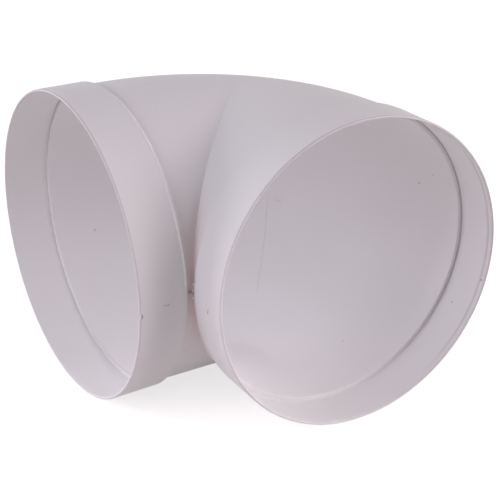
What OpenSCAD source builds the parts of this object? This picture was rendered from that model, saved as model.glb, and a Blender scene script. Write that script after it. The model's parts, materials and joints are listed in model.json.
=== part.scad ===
// Round duct elbow, 90 degrees, with a push-fit socket at each end.
// Two half bends butt on the mitre plane, and the end of each seats in the rebate behind its socket.
// Origin: on the left socket's axis, where the duct that is pushed into it stops.
// The left socket opens to -X and the right socket to -Y. +Z is square to the bend.

/* [Duct] */
// Outside diameter of the duct that plugs in
duct_d = 160; // [100:1:250]
// Wall of that duct, so that the elbow's bore is flush with its inside
duct_wall = 2; // [1.4:0.1:4]
// Room all round between the duct and the socket
duct_gap = 0.4; // [0.1:0.05:1]

/* [Socket] */
// Wall of the socket's collar
collar_wall = 1.6; // [1.2:0.1:4]
// How far the duct goes in before the ledge stops it
socket_depth = 25; // [12:0.5:60]
// Length of the lead-in chamfer inside the mouth
lead_l = 4; // [0.4:0.1:8]
// Width of the lead-in chamfer
lead_w = 0.4; // [0.1:0.05:0.8]
// Break of the mouth's outer edge
rim_break = 0.3; // [0.1:0.05:0.5]
// Thickness of the ledge that stops the duct
ledge_t = 1.2; // [0.8:0.1:4]
// Length of the slope behind the collar
shoulder_l = 1.6; // [0.6:0.1:2.2]
// Height of the slope's foot above the bend
shoulder_foot = 0.3; // [0.1:0.05:0.6]

/* [Bend] */
// Wall of the bend
bend_wall = 1.6; // [1.2:0.1:2.6]
// How far the bend's end goes into the rebate behind the ledge
lap = 1.5; // [0.8:0.1:6]
// Room for the cement between the bend and the rebate
cement_gap = 0.1; // [0.05:0.05:0.2]
// Distance between the two collars at the throat
throat_gap = 2.7; // [1:0.1:30]

/* [Hidden] */
$fn = 180;

socket_colour = [0.78, 0.75, 0.77];
bend_colour = [0.76, 0.74, 0.76];

// Radii of the bend and of the socket
bore_r = duct_d / 2 - duct_wall;
tube_r = bore_r + bend_wall;
socket_r = duct_d / 2 + duct_gap;
collar_r = socket_r + collar_wall;
rebate_r = tube_r + cement_gap;

// Places along an arm, measured from where the two axes cross
edge_s = collar_r + throat_gap / sqrt(2);
foot_s = edge_s - shoulder_l;
seat_s = foot_s + lap;
stop_s = seat_s + ledge_t;
mouth_s = stop_s + socket_depth;

// The bend starts at the foot of the shoulder, so its turning radius reaches that far
bend_r = foot_s;

// Overrun of the solids that only cut
spare = 5;

// Arm frame to part frame: an arm's own axis, drawn along Z, comes to lie along -X
module along_arm() {
    rotate([0, -90, 0]) children();
}

module left_side() {
    translate([stop_s, 0, 0]) children();
}

// The right side is the left one mirrored on the mitre plane
module right_side() {
    translate([stop_s, 0, 0]) mirror([1, -1, 0]) children();
}

// Socket, from the lead-in at the mouth round the collar and the shoulder to the ledge
module socket() {
    along_arm() rotate_extrude() polygon([
        [socket_r + lead_w, mouth_s],
        [collar_r - rim_break, mouth_s],
        [collar_r, mouth_s - rim_break],
        [collar_r, edge_s],
        [rebate_r + shoulder_foot, foot_s],
        [rebate_r, foot_s],
        [rebate_r, seat_s],
        [bore_r, seat_s],
        [bore_r, stop_s],
        [socket_r, stop_s],
        [socket_r, mouth_s - lead_l]
    ]);
}

// Everything on the left arm's side of the mitre plane
module left_of_mitre(r) {
    reach = 2 * mouth_s;
    translate([0, 0, -r - spare]) linear_extrude(2 * (r + spare)) polygon([
        [-reach, -reach],
        [reach, reach],
        [-reach, reach]
    ]);
}

// Everything from the turning axis out to the round outer side of the heel
module heel(r) {
    translate([-bend_r, -bend_r, 0]) rotate_extrude() {
        translate([0, -r]) square([bend_r, 2 * r]);
        translate([bend_r, 0]) circle(r);
    }
}

// What the heel leaves off the square corner, from where the bend starts
module corner_waste(r) {
    side = bend_r + r + spare;
    difference() {
        translate([-bend_r, -bend_r, -r - spare]) cube([side, side, 2 * (r + spare)]);
        heel(r);
    }
}

// Solid half bend of radius r: a straight tube mitred at the throat and rounded at the heel
module half_form(r) {
    difference() {
        intersection() {
            along_arm() translate([0, 0, -r - spare]) cylinder(r = r, h = r + spare + seat_s);
            left_of_mitre(r);
        }
        corner_waste(r);
    }
}

module half_bend() {
    difference() {
        half_form(tube_r);
        half_form(bore_r);
    }
}

module left_socket() {
    color(socket_colour) left_side() socket();
}

module left_half_bend() {
    color(bend_colour) left_side() half_bend();
}

module right_half_bend() {
    color(bend_colour) right_side() half_bend();
}

module right_socket() {
    color(socket_colour) right_side() socket();
}

left_socket();
left_half_bend();
right_half_bend();
right_socket();
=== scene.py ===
import json
import math

import bmesh
import bpy
from mathutils import Euler, Matrix, Vector


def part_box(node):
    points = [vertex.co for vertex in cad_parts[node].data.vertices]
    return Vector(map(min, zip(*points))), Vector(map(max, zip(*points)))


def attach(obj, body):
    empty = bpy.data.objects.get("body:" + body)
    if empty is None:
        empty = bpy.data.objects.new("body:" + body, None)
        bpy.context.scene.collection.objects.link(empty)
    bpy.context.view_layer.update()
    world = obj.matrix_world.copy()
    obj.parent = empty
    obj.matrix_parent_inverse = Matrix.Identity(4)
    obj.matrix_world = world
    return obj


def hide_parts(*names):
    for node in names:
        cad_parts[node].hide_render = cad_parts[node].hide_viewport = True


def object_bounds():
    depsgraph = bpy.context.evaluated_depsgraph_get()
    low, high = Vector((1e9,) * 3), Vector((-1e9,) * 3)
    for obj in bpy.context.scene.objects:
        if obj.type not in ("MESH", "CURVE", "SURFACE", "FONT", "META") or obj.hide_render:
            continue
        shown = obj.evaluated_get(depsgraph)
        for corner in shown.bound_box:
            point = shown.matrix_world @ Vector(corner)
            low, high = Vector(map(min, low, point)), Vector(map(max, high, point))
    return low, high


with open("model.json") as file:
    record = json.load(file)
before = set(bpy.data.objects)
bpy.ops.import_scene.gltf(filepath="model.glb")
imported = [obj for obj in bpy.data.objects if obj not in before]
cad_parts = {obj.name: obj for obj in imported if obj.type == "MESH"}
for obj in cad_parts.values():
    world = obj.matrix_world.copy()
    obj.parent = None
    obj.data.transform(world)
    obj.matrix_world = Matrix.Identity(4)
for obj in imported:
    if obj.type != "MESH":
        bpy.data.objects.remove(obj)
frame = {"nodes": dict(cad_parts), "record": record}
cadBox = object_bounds()
scene = bpy.context.scene
scene.view_settings.view_transform = "Standard"
print("frame loaded:", ", ".join(sorted(frame["nodes"])))

# sizes and places read off the frame, in metres
mounts = {mount["name"]: mount for mount in frame["record"]["mounts"]}
crossing = Vector((mounts["right_socket"]["pos_m"][0], 0, 0))  # where the two arms' axes cross
socketLow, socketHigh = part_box("left_socket")
bendLow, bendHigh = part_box("left_half_bend")
socketRadius = mounts["left_socket"]["dims"]["r_mm"] / 1000
collarRadius = socketHigh.z
tubeRadius = bendHigh.z
mouthAlong = crossing.x - socketLow.x  # distances along an arm, from the crossing
stopAlong = crossing.x - mounts["left_socket"]["pos_m"][0]
seatAlong = crossing.x - bendLow.x
footAlong = crossing.x - socketHigh.x
pivot = crossing - Vector((footAlong, footAlong, 0))  # the bend turns about a vertical axis here
nearly = 1e-5


def startFresh():
    if bpy.context.object and bpy.context.object.mode != "OBJECT":
        bpy.ops.object.mode_set(mode="OBJECT")
    bpy.ops.object.select_all(action="DESELECT")


def pickVerts(test):
    bpy.ops.mesh.select_mode(type="VERT")
    bpy.ops.mesh.select_all(action="DESELECT")
    mesh = bmesh.from_edit_mesh(bpy.context.object.data)
    for vert in mesh.verts:
        vert.select_set(test(vert.co))
    mesh.select_flush(True)
    bmesh.update_edit_mesh(bpy.context.object.data)
    bpy.ops.mesh.select_mode(type="EDGE")


def finishMesh(piece, smoothAngle):
    bpy.ops.mesh.select_all(action="SELECT")
    bpy.ops.mesh.remove_doubles(threshold=nearly / 10)
    bpy.ops.mesh.normals_make_consistent(inside=False)
    bpy.ops.object.mode_set(mode="OBJECT")
    bpy.ops.object.transform_apply(location=True, rotation=True, scale=True)
    bpy.ops.object.shade_smooth_by_angle(angle=math.radians(smoothAngle))
    return piece


def mirroredCopy(piece, name):
    copy = piece.copy()
    copy.data = piece.data.copy()
    copy.name = name
    copy.data.name = name
    scene.collection.objects.link(copy)
    swapArms = Matrix(((0, 1, 0, 0), (1, 0, 0, 0), (0, 0, 1, 0), (0, 0, 0, 1)))
    toCrossing = Matrix.Translation(crossing)
    copy.data.transform(toCrossing @ swapArms @ toCrossing.inverted())
    copy.data.flip_normals()
    return copy


socketForm = {
    "sides": 288,
    "leadLength": 0.004,
    "leadWidth": 0.0004,
    "shoulderLength": 0.0019,
    "draft": 0.0005,
    "lipHeight": 0.0005,
    "lipRun": 0.0008,
    "lipAngles": (1, 3, 66, 84),  # starts, is full, still is full, ends: degrees up from the throat
    "footHeight": 0.00004,
    "cementGap": 0.00002,
    "boreWall": 0.0016,
    "cornerBand": 0.0006,
    "leadBand": 0.0012,
    "wearFade": 0.0003,
    "rimRound": 0.00075,
    "leadRound": 0.0004,
    "shoulderRound": 0.00025,
    "ledgeRound": 0.0006,
    "roundSteps": 3,
    "nickAngle": -3.6,
    "nickHalfAngle": 1,
    "nickDepth": 0.0012,
    "nickReach": 0.0035,
    "smoothAngle": 32,
}
# how much painted shade (with some dust at the rim), then where it starts, is full, still is full and
# ends: degrees up from the throat
dirtAndShadePlan = {
    "left": {
        "rim": (0.6, (-60, 75, 110, 150)),
        "corner": (0.7, (80, 100, 140, 170)),
        "ledge": (0.4, (232, 262, 335, 355)),
    },
    "right": {
        "rim": (0.5, (5, 60, 180, 270)),
        "lead": (0.4, (125, 150, 215, 240)),
        "corner": (0.65, (80, 100, 195, 232)),
        "ledge": (0.25, (262, 290, 340, 358)),
    },
}
arms = {  # the way out of the mouth, and the way towards the throat
    "left": (Vector((-1, 0, 0)), Vector((0, -1, 0))),
    "right": (Vector((0, -1, 0)), Vector((-1, 0, 0))),
}
boreRadius = tubeRadius - socketForm["boreWall"]
edgeAlong = footAlong + socketForm["shoulderLength"]


def shareHere(angles, angle):
    # rises from 0 to 1, stays there and falls to 0 again
    start, full, stillFull, end = angles
    turn = (angle - start) % 360
    if turn > end - start:
        return 0
    return min(turn / (full - start), 1, (end - start - turn) / (end - stillFull))


def raiseLip(piece):
    # the lip on the collar's back edge runs from the throat to near the top
    form = socketForm
    lipAlong = edgeAlong + form["lipRun"]
    flatRun = form["lipRun"] - form["shoulderRound"]
    for vert in piece.data.vertices:
        place = vert.co - crossing
        along, radius = -place.x, place.yz.length
        if radius < tubeRadius + form["cementGap"] * 2 or along > lipAlong - nearly:
            continue
        if along >= edgeAlong:
            hump = min((lipAlong - along) / flatRun, 1)
        else:
            hump = (along - footAlong) / form["shoulderLength"]
        angle = math.degrees(math.atan2(place.z, -place.y))
        grow = 1 + form["lipHeight"] * hump * shareHere(form["lipAngles"], angle) / radius
        vert.co.y = crossing.y + place.y * grow
        vert.co.z = crossing.z + place.z * grow


def dirtAndShadeHere(part, angle):
    amount, angles = part
    return amount * shareHere(angles, angle)


def paintDirtAndShade(piece, arm):
    # greyer at the rim, at the end of the lead-in, in the ledge's corner and on the ledge: painted
    # shade on the sides that lie in shade, with some dust at the rim
    form, plan = socketForm, dirtAndShadePlan[arm]
    outward, toThroat = arms[arm]
    worn = piece.data.attributes.new("worn", "FLOAT", "POINT")
    leadAlong = mouthAlong - form["leadLength"]
    for vert in piece.data.vertices:
        place = vert.co - crossing
        along, side = place.dot(outward), place.dot(toThroat)
        radius = math.hypot(side, place.z)
        angle = math.degrees(math.atan2(place.z, side))
        onLead = -nearly < along - leadAlong < form["leadBand"] + nearly
        onLedge = abs(along - stopAlong) < form["ledgeRound"] + nearly
        inCorner = radius > socketRadius - form["cornerBand"] - nearly
        parts = ()
        if along > mouthAlong - form["rimRound"] - nearly:
            parts = ("rim",)
        elif onLead and radius < collarRadius - form["draft"] - nearly:
            parts = ("lead",)
        elif onLedge and not inCorner:
            parts = ("ledge",)
        elif onLedge and radius < socketRadius + nearly and along <= stopAlong + nearly:
            parts = ("corner", "ledge")
        for part in parts:
            if part in plan:
                worn.data[vert.index].value += dirtAndShadeHere(plan[part], angle)


def nickRim(piece):
    form = socketForm
    for vert in piece.data.vertices:
        place = vert.co - crossing
        angle = math.degrees(math.atan2(place.z, -place.y))
        fromMouth = mouthAlong + place.x
        if fromMouth < form["nickReach"] and abs(angle - form["nickAngle"]) < form["nickHalfAngle"]:
            vert.co.x += form["nickDepth"] * (1 - fromMouth / form["nickReach"])
            # the dent's mouth is painted fully dark
            if fromMouth < form["nickDepth"] / 2:
                piece.data.attributes["worn"].data[vert.index].value = 1


def makeSocket(name):
    form = socketForm
    rebateRadius = tubeRadius + form["cementGap"]
    fade = form["wearFade"]
    rimEnd = mouthAlong - form["rimRound"] - fade
    leadAlong = mouthAlong - form["leadLength"]
    bandEnd = leadAlong + form["leadBand"]

    def leadRadius(along):
        return socketRadius + form["leadWidth"] * (along - leadAlong) / form["leadLength"]

    rings = [  # radius, distance along the arm
        (socketRadius + form["leadWidth"], mouthAlong),
        (collarRadius, mouthAlong),
        (collarRadius, rimEnd),
        (collarRadius - form["draft"], edgeAlong + form["lipRun"] + fade),
        (collarRadius - form["draft"], edgeAlong + form["lipRun"]),
        (collarRadius - form["draft"], edgeAlong),
        (rebateRadius + form["footHeight"], footAlong),
        (rebateRadius, footAlong),
        (rebateRadius, seatAlong),
        (boreRadius, seatAlong),
        (boreRadius, stopAlong),
        (socketRadius - form["cornerBand"] - fade, stopAlong),
        (socketRadius - form["cornerBand"], stopAlong),
        (socketRadius, stopAlong),
        (socketRadius, stopAlong + fade),
        (socketRadius, leadAlong - fade),
        (socketRadius, leadAlong),
        (leadRadius(bandEnd), bandEnd),
        (leadRadius(bandEnd + fade), bandEnd + fade),
        (leadRadius(rimEnd), rimEnd),
    ]
    roundings = (  # number of the ring, name of its radius
        (1, "rimRound"),
        (0, "leadRound"),
        (5, "shoulderRound"),
        (10, "ledgeRound"),
    )
    startFresh()
    bpy.ops.mesh.primitive_circle_add(vertices=form["sides"], radius=rings[0][0], location=(0, 0, 0))
    piece = bpy.context.object
    piece.name = name
    bpy.ops.object.mode_set(mode="EDIT")
    bpy.ops.mesh.select_all(action="SELECT")
    bpy.ops.transform.translate(value=(0, 0, rings[0][1]))
    for (radius, along), (nextRadius, nextAlong) in zip(rings, rings[1:] + rings[:1]):
        bpy.ops.mesh.extrude_edges_move(TRANSFORM_OT_translate={"value": (0, 0, nextAlong - along)})
        grow = nextRadius / radius
        bpy.ops.transform.resize(value=(grow, grow, 1), center_override=(0, 0, nextAlong))
    bpy.ops.mesh.select_all(action="SELECT")
    bpy.ops.mesh.remove_doubles(threshold=nearly)
    for ring, roundName in roundings:
        radius, along = rings[ring]
        pickVerts(lambda co: abs(co.xy.length - radius) < nearly and abs(co.z - along) < nearly)
        bpy.ops.mesh.bevel(offset=form[roundName], segments=form["roundSteps"], affect="EDGES")
    bpy.ops.object.mode_set(mode="OBJECT")
    piece.rotation_euler = (0, math.radians(-90), 0)  # the ring axis comes to lie along -X
    piece.location = crossing
    bpy.ops.object.mode_set(mode="EDIT")
    return finishMesh(piece, form["smoothAngle"])


leftSocket = makeSocket("leftSocket")
rightSocket = mirroredCopy(leftSocket, "rightSocket")
paintDirtAndShade(leftSocket, "left")
paintDirtAndShade(rightSocket, "right")
raiseLip(leftSocket)
nickRim(leftSocket)
# once more, because lip and nick have turned some faces
bpy.ops.object.shade_smooth_by_angle(angle=math.radians(socketForm["smoothAngle"]))
print("sockets made:", len(leftSocket.data.polygons), "faces each")

bendForm = {
    "sides": 288,
    "turnSteps": 36,
    "creaseSteps": 12,
    "halfTurn": 45,
    "creaseTurn": 3,
    "fitRounds": 6,
    "creaseBlend": 0.0005,
    "ridgeBlend": 0.003,
    "innerSeam": 0.00025,
    "seamDepth": 0.063,  # below the axis by this much, the seam inside the heel has faded out
    "throatReach": 0.010,
    "throatHeight": 0.05,
    "smoothAngle": 32,
}


def throatOffset(reach, turn):
    # distance from the tube's axis on the throat's side, with a small fillet in the crease
    blend = bendForm["creaseBlend"]
    short = max(blend - reach * (math.sin(turn) - math.cos(turn)), 0)
    return footAlong - reach * math.sin(turn) - short * short / blend / 4


def slideToMitre(co, radius):
    # in its own radial plane, a point of a plain bend slides out to the mitred tube at the throat,
    # and up to where heel and tube meet
    fromPivot = (co - pivot).xy
    turn = math.atan2(fromPivot.y, fromPivot.x)
    sine = math.sin(turn)
    ridgeAngle = math.asin(footAlong * (1 - sine) / (1 + sine) / radius)
    angle = math.atan2(fromPivot.length - footAlong, abs(co.z))
    share = abs(angle) / math.radians(90)
    side = radius * math.sin(ridgeAngle + share * (math.radians(90) - ridgeAngle))
    if angle >= 0:
        reach = footAlong + side
    else:
        reach = (footAlong - side) / sine
        for _ in range(bendForm["fitRounds"]):
            reach += (throatOffset(reach, turn) - side) / sine
    heelSide, throatSide = reach - footAlong, throatOffset(reach, turn)
    blend = bendForm["ridgeBlend"] * (1 - sine) / (1 - math.sin(math.radians(bendForm["halfTurn"])))
    overlap = max(blend - abs(heelSide - throatSide), 0)
    offset = max(heelSide, throatSide)
    if overlap > 0:
        offset += overlap * overlap / blend / 4
    height = math.sqrt(max(radius * radius - offset * offset, 0))
    along = fromPivot.normalized() * reach
    return Vector((pivot.x + along.x, pivot.y + along.y, math.copysign(height, co.z)))


def makeHalfBend(name):
    form = bendForm
    seat = crossing - Vector((seatAlong, 0, 0))
    midWall = (tubeRadius + boreRadius) / 2
    startFresh()
    bpy.ops.mesh.primitive_circle_add(vertices=form["sides"], radius=tubeRadius, location=(0, 0, 0))
    piece = bpy.context.object
    piece.name = name
    piece.rotation_euler = (0, math.radians(-90), 0)
    piece.location = seat
    bpy.ops.object.transform_apply(location=True, rotation=True, scale=True)
    bpy.ops.object.mode_set(mode="EDIT")
    bpy.ops.mesh.select_all(action="SELECT")
    bpy.ops.mesh.extrude_edges_move(TRANSFORM_OT_translate={"value": (0, 0, 0)})
    shrink = boreRadius / tubeRadius
    bpy.ops.transform.resize(value=(1, shrink, shrink), center_override=seat)
    bpy.ops.mesh.select_all(action="SELECT")
    bpy.ops.mesh.extrude_region_move(TRANSFORM_OT_translate={"value": (seatAlong - footAlong, 0, 0)})
    firstTurn = form["halfTurn"] - form["creaseTurn"]
    for steps, degrees in ((form["turnSteps"], firstTurn), (form["creaseSteps"], form["creaseTurn"])):
        bpy.ops.mesh.spin(steps=steps, angle=math.radians(degrees), center=pivot, axis=(0, 0, 1))
    mesh = bmesh.from_edit_mesh(piece.data)
    for vert in mesh.verts:
        if vert.co.x > pivot.x + nearly:
            outer = math.hypot((vert.co - pivot).xy.length - footAlong, vert.co.z) > midWall
            vert.co = slideToMitre(vert.co, tubeRadius if outer else boreRadius)
    bmesh.update_edit_mesh(piece.data)

    def onMitreInside(co):
        reach = (co - pivot).xy.length
        offset = max(reach - footAlong, throatOffset(reach, math.radians(form["halfTurn"])))
        onMitre = abs(co.x - crossing.x - co.y) < nearly and co.z > -form["seamDepth"]
        return onMitre and math.hypot(offset, co.z) < midWall

    pickVerts(onMitreInside)
    bpy.ops.mesh.bevel(offset=form["innerSeam"], segments=1, affect="EDGES")
    finishMesh(piece, form["smoothAngle"])
    # painted shade: the plastic is tinted warmer and darker along the throat crease, where shade falls
    yellowed = piece.data.attributes.new("yellowed", "FLOAT", "POINT")
    for vert in piece.data.vertices:
        place = vert.co - crossing
        fromCrease = 1 - abs(place.x - place.y) / math.sqrt(2) / form["throatReach"]
        fromMiddle = 1 - abs(place.z) / form["throatHeight"]
        if place.x < 0 and place.yz.length > midWall and fromCrease > 0 and fromMiddle > 0:
            yellowed.data[vert.index].value = fromCrease * fromMiddle
    return piece


leftHalfBend = makeHalfBend("leftHalfBend")
rightHalfBend = mirroredCopy(leftHalfBend, "rightHalfBend")
print("half bends made:", len(leftHalfBend.data.polygons), "faces each")

markForm = {
    "segments": 16,
    "rings": 8,
}
marks = (  # piece, place from the crossing, way it faces, size, turn in degrees, how dark it is painted
    (leftSocket, (-0.0965, -0.0817, -0.0031), (0, -1, 0), (0.0017, 0.0015, 0.0014), 0, 0),
    (leftSocket, (-0.0946, -0.0817, -0.0031), (0, -1, 0), (0.0018, 0.0009, 0.0005), 20, 0.5),
    (leftSocket, (-0.1086, -0.0816, -0.0056), (0, -1, -0.07), (0.0009, 0.0034, 0.0006), 0, 1),
    (leftSocket, (-0.0847, -0.0819, 0.0041), (0, -1, 0.05), (0.0009, 0.0011, 0.0008), 0, 0),
    (rightSocket, (-0.0817, -0.0977, -0.0032), (-1, 0, 0), (0.0030, 0.0008, 0.0004), 75, 0.9),
    (rightSocket, (-0.0816, -0.0842, 0.0059), (-1, 0, 0.07), (0.0010, 0.0014, 0.0008), 0, 0),
    (rightSocket, (-0.0819, -0.0837, 0.0020), (-1, 0, 0), (0.0009, 0.0009, 0.0009), 0, 0),
    (rightSocket, (-0.0817, -0.0836, 0.0003), (-1, 0, 0), (0.0010, 0.0012, 0.0008), 0, 1),
    (rightSocket, (-0.0819, -0.0839, -0.0017), (-1, 0, 0), (0.0012, 0.0010, 0.0010), 0, 0),
    # painted shadow: the upper bar of the throat flash is painted fully dark where the step's shade
    # falls; the lower bar stays light
    (leftHalfBend, (-0.0816, -0.0797, -0.0002), (0, -1, 0), (0.0046, 0.0008, 0.0006), 0, 1),
    (leftHalfBend, (-0.0816, -0.0797, -0.0014), (0, -1, 0), (0.0046, 0.0008, 0.0012), 0, 0),
    (rightHalfBend, (0.0324, 0.0275, -0.0152), (-0.71, -0.68, 0.20), (0.0024, 0.0010, 0.0008), 60, 0),
    (rightHalfBend, (0.0335, 0.0263, -0.0157), (-0.71, -0.67, 0.20), (0.0026, 0.0008, 0.0008), 150, 0),
    (rightHalfBend, (0.0345, 0.0250, -0.0163), (-0.72, -0.66, 0.20), (0.0020, 0.0010, 0.0008), 40, 0),
    (rightHalfBend, (0.0744, -0.0545, 0.0134), (-0.97, -0.17, -0.16), (0.0016, 0.0012, 0.0002), 0, 0.7),
    (rightHalfBend, (0.0739, -0.0669, 0.0224), (-0.95, -0.09, -0.29), (0.0012, 0.0010, 0.0002), 0, 0.6),
    (rightHalfBend, (0.0278, -0.0523, -0.0712), (-0.39, -0.11, 0.91), (0.0010, 0.0010, 0.0002), 0, 0.5),
    (rightSocket, (0.0770, -0.1074, -0.0238), (-0.95, -0.10, 0.29), (0.0018, 0.0014, 0.0003), 30, 0.9),
    (rightSocket, (0.0694, -0.0937, -0.0406), (-0.86, 0, 0.51), (0.0012, 0.0010, 0.0002), 0, 0.6),
    (rightSocket, (0.0758, -0.0923, 0.0268), (-0.94, 0, -0.33), (0.0010, 0.0010, 0.0002), 0, 0.5),
    (leftHalfBend, (-0.0617, 0.0709, -0.0294), (-0.12, -0.92, 0.37), (0.0016, 0.0013, 0.0002), 0, 0.6),
)


def addMark(piece, place, facing, size, turn, dirtAndShadeAmount):
    # a small bump left by the mould, a speck of dirt, or a dark strip painted as the shadow of a step
    normal = Vector(facing).normalized()
    across = Vector((0, 0, 1)).cross(normal).normalized()
    axes = Matrix((across, normal.cross(across), normal)).transposed().to_4x4()
    startFresh()
    bpy.ops.mesh.primitive_uv_sphere_add(
        segments=markForm["segments"],
        ring_count=markForm["rings"],
        radius=0.5,
        location=(0, 0, 0),
    )
    bump = bpy.context.object
    toPlace = Matrix.Translation(crossing + Vector(place))
    spin = Matrix.Rotation(math.radians(turn), 4, "Z")
    bump.matrix_world = toPlace @ axes @ spin @ Matrix.Diagonal((*size, 1))
    bpy.ops.object.transform_apply(location=True, rotation=True, scale=True)
    bpy.ops.object.shade_smooth()
    worn = bump.data.attributes.new("worn", "FLOAT", "POINT")
    worn.data.foreach_set("value", [dirtAndShadeAmount] * len(bump.data.vertices))
    piece.select_set(True)
    bpy.context.view_layer.objects.active = piece
    bpy.ops.object.join()


for mark in marks:
    addMark(*mark)
print("small marks added:", len(marks))

for piece, node, slotName in (
    (leftSocket, "left_socket", "socket_plastic"),
    (rightSocket, "right_socket", "socket_plastic"),
    (leftHalfBend, "left_half_bend", "bend_plastic"),
    (rightHalfBend, "right_half_bend", "bend_plastic"),
):
    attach(piece, "root")
    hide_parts(node)

plasticLook = {
    "colour": (0.843, 0.838, 0.839, 1),
    "cloudColour": (0.821, 0.816, 0.817, 1),
    # painted shade: warmer, darker tint for the throat crease
    "yellowColour": (0.80, 0.66, 0.63, 1),
    # grey for dust and for painted shade at rims, lead-ins, ledges, corners and dark marks
    "wornColour": (0.47, 0.44, 0.445, 1),
    "cloudScale": 16,
    "cloudDetail": 4,
    "grainScale": 1400,
    "grainDetail": 2,
    "roughLow": 0.52,
    "roughHigh": 0.64,
    "grainHeight": 0.00001,
}


def makeSurfaceGroup():
    group = bpy.data.node_groups.new("mouldedSurface", "ShaderNodeTree")
    face = group.interface
    face.new_socket("Position", in_out="INPUT", socket_type="NodeSocketVector")
    for inputName in ("Cloud Scale", "Grain Scale"):
        face.new_socket(inputName, in_out="INPUT", socket_type="NodeSocketFloat")
    for outputName in ("Cloud", "Grain"):
        face.new_socket(outputName, in_out="OUTPUT", socket_type="NodeSocketFloat")
    nodes, links = group.nodes, group.links
    given = nodes.new("NodeGroupInput")
    made = nodes.new("NodeGroupOutput")
    cloud = nodes.new("ShaderNodeTexNoise")
    cloud.inputs["Detail"].default_value = plasticLook["cloudDetail"]
    grain = nodes.new("ShaderNodeTexNoise")
    grain.inputs["Detail"].default_value = plasticLook["grainDetail"]
    for texture, scaleName in ((cloud, "Cloud Scale"), (grain, "Grain Scale")):
        links.new(given.outputs["Position"], texture.inputs["Vector"])
        links.new(given.outputs[scaleName], texture.inputs["Scale"])
    links.new(cloud.outputs["Fac"], made.inputs["Cloud"])
    links.new(grain.outputs["Fac"], made.inputs["Grain"])
    return group


surfaceGroup = makeSurfaceGroup()


def makePlastic(name, look):
    material = bpy.data.materials.new(name)
    material.use_nodes = True
    nodes, links = material.node_tree.nodes, material.node_tree.links
    shader = nodes["Principled BSDF"]
    place = nodes.new("ShaderNodeTexCoord")
    surface = nodes.new("ShaderNodeGroup")
    surface.node_tree = surfaceGroup
    surface.inputs["Cloud Scale"].default_value = look["cloudScale"]
    surface.inputs["Grain Scale"].default_value = look["grainScale"]
    links.new(place.outputs["Object"], surface.inputs["Position"])
    clouded = nodes.new("ShaderNodeMix")
    clouded.data_type = "RGBA"
    clouded.inputs["A"].default_value = look["colour"]
    clouded.inputs["B"].default_value = look["cloudColour"]
    links.new(surface.outputs["Cloud"], clouded.inputs["Factor"])
    colour = clouded.outputs["Result"]
    # painted shade: the warm dark tint of the throat crease and the grey of dust and painted shade are
    # mixed into the plastic's colour here
    for attributeName, colourName in (("yellowed", "yellowColour"), ("worn", "wornColour")):
        tinted = nodes.new("ShaderNodeMix")
        tinted.data_type = "RGBA"
        tinted.inputs["B"].default_value = look[colourName]
        amount = nodes.new("ShaderNodeAttribute")
        amount.attribute_name = attributeName
        links.new(amount.outputs["Fac"], tinted.inputs["Factor"])
        links.new(colour, tinted.inputs["A"])
        colour = tinted.outputs["Result"]
    links.new(colour, shader.inputs["Base Color"])
    rough = nodes.new("ShaderNodeMapRange")
    rough.inputs["To Min"].default_value = look["roughLow"]
    rough.inputs["To Max"].default_value = look["roughHigh"]
    links.new(surface.outputs["Cloud"], rough.inputs["Value"])
    links.new(rough.outputs["Result"], shader.inputs["Roughness"])
    bump = nodes.new("ShaderNodeBump")
    bump.inputs["Distance"].default_value = look["grainHeight"]
    links.new(surface.outputs["Grain"], bump.inputs["Height"])
    links.new(bump.outputs["Normal"], shader.inputs["Normal"])
    return material


socketPlastic = makePlastic("socketPlastic", plasticLook)
bendPlastic = makePlastic("bendPlastic", plasticLook)
for piece in (leftSocket, rightSocket):
    piece.data.materials.append(socketPlastic)
for piece in (leftHalfBend, rightHalfBend):
    piece.data.materials.append(bendPlastic)
print("materials made")

studio = {
    "white": (1, 1, 1, 1),
    "floorColour": (0.84, 0.79, 0.78, 1),
    "floorSize": 8,
    "floorRoughness": 0.9,
    "floorGlow": 0.7,
    "fadeStart": 0.5,
    "fadeEnd": 1.5,
    "worldLight": 0.07,
    "lampDistance": 1.8,
    "lamps": (  # name, azimuth and elevation in degrees, width, height, watts, colour
        ("leftLamp", 180, 30, 1.2, 1.2, 13.9, (0.95, 0.895, 1.0)),
        ("leftBackLamp", 130, 12, 1.4, 0.8, 16.9, (0.99, 0.925, 1.0)),
        ("rightLamp", 320, 12, 1.3, 0.85, 13.0, (0.985, 0.945, 1.0)),
        ("rightFrontLamp", 311, 30, 1.1, 1.2, 13.4, (1.0, 0.86, 0.93)),
    ),
}


def whiteToTheCamera(nodes, links):
    # the rays that see the surroundings directly or in a reflection
    rays = nodes.new("ShaderNodeLightPath")
    seen = rays.outputs["Is Camera Ray"]
    for rayName in ("Is Glossy Ray", "Is Transmission Ray"):
        either = nodes.new("ShaderNodeMath")
        either.operation = "MAXIMUM"
        links.new(seen, either.inputs[0])
        links.new(rays.outputs[rayName], either.inputs[1])
        seen = either.outputs[0]
    return seen


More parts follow.
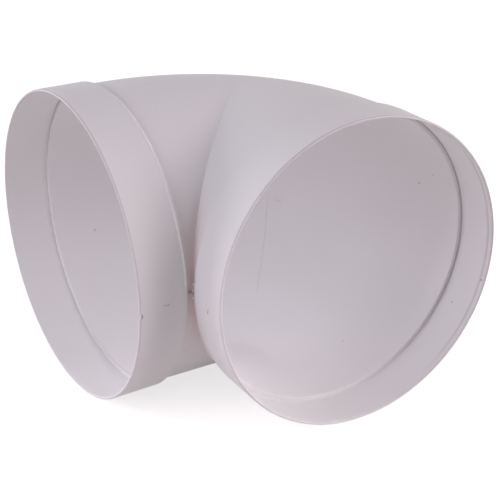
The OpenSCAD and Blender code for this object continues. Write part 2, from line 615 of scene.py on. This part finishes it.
def makeFloor():
    startFresh()
    underPart = (crossing.x, crossing.y, cadBox[0].z)
    bpy.ops.mesh.primitive_plane_add(size=studio["floorSize"], location=underPart)
    floor = bpy.context.object
    floor.name = "floor"
    material = bpy.data.materials.new("paleFloor")
    material.use_nodes = True
    nodes, links = material.node_tree.nodes, material.node_tree.links
    shader = nodes["Principled BSDF"]
    shader.inputs["Base Color"].default_value = studio["floorColour"]
    shader.inputs["Roughness"].default_value = studio["floorRoughness"]
    shader.inputs["Specular IOR Level"].default_value = 0
    shader.inputs["Emission Color"].default_value = studio["white"]
    place = nodes.new("ShaderNodeTexCoord")
    distance = nodes.new("ShaderNodeVectorMath")
    distance.operation = "LENGTH"
    links.new(place.outputs["Object"], distance.inputs[0])
    glow = nodes.new("ShaderNodeMapRange")  # away from the part the floor fades to white
    glow.inputs["From Min"].default_value = studio["fadeStart"]
    glow.inputs["From Max"].default_value = studio["fadeEnd"]
    glow.inputs["To Min"].default_value = studio["floorGlow"]
    glow.inputs["To Max"].default_value = 1
    links.new(distance.outputs["Value"], glow.inputs["Value"])
    seenGlow = nodes.new("ShaderNodeMath")
    seenGlow.operation = "MULTIPLY"
    links.new(whiteToTheCamera(nodes, links), seenGlow.inputs[0])
    links.new(glow.outputs["Result"], seenGlow.inputs[1])
    links.new(seenGlow.outputs[0], shader.inputs["Emission Strength"])
    floor.data.materials.append(material)


def makeWorld():
    world = bpy.data.worlds.new("studioWorld")
    scene.world = world
    world.use_nodes = True
    nodes, links = world.node_tree.nodes, world.node_tree.links
    background = nodes["Background"]
    background.inputs["Color"].default_value = studio["white"]
    strength = nodes.new("ShaderNodeMapRange")
    strength.inputs["To Min"].default_value = studio["worldLight"]
    strength.inputs["To Max"].default_value = 1
    links.new(whiteToTheCamera(nodes, links), strength.inputs["Value"])
    links.new(strength.outputs["Result"], background.inputs["Strength"])


def makeLamps():
    for name, azimuth, elevation, width, height, watts, colour in studio["lamps"]:
        data = bpy.data.lights.new(name, "AREA")
        data.shape = "RECTANGLE"
        data.size = width
        data.size_y = height
        data.energy = watts
        data.color = colour
        lamp = bpy.data.objects.new(name, data)
        outward = Vector((studio["lampDistance"], 0, 0))
        outward.rotate(Euler((0, math.radians(-elevation), math.radians(azimuth))))
        lamp.location = crossing + outward
        lamp.rotation_euler = (-outward).to_track_quat("-Z", "Y").to_euler()
        scene.collection.objects.link(lamp)


makeFloor()
makeWorld()
makeLamps()
print("studio lit")

cameraView = {
    "azimuth": -30.64,
    "elevation": 24.95,
    "roll": -0.70,
    "lens": 109.58,
    "fromCrossing": (-0.3926, -0.6626, 0.3288),
}


def makeCamera():
    data = bpy.data.cameras.new("photoCamera")
    data.lens = cameraView["lens"]
    camera = bpy.data.objects.new("photoCamera", data)
    turn = Matrix.Rotation(math.radians(cameraView["azimuth"]), 4, "Z")
    tilt = Matrix.Rotation(math.radians(90 - cameraView["elevation"]), 4, "X")
    roll = Matrix.Rotation(math.radians(cameraView["roll"]), 4, "Z")
    place = Matrix.Translation(crossing + Vector(cameraView["fromCrossing"]))
    camera.matrix_world = place @ turn @ tilt @ roll
    scene.collection.objects.link(camera)
    scene.camera = camera


makeCamera()
print("camera set")
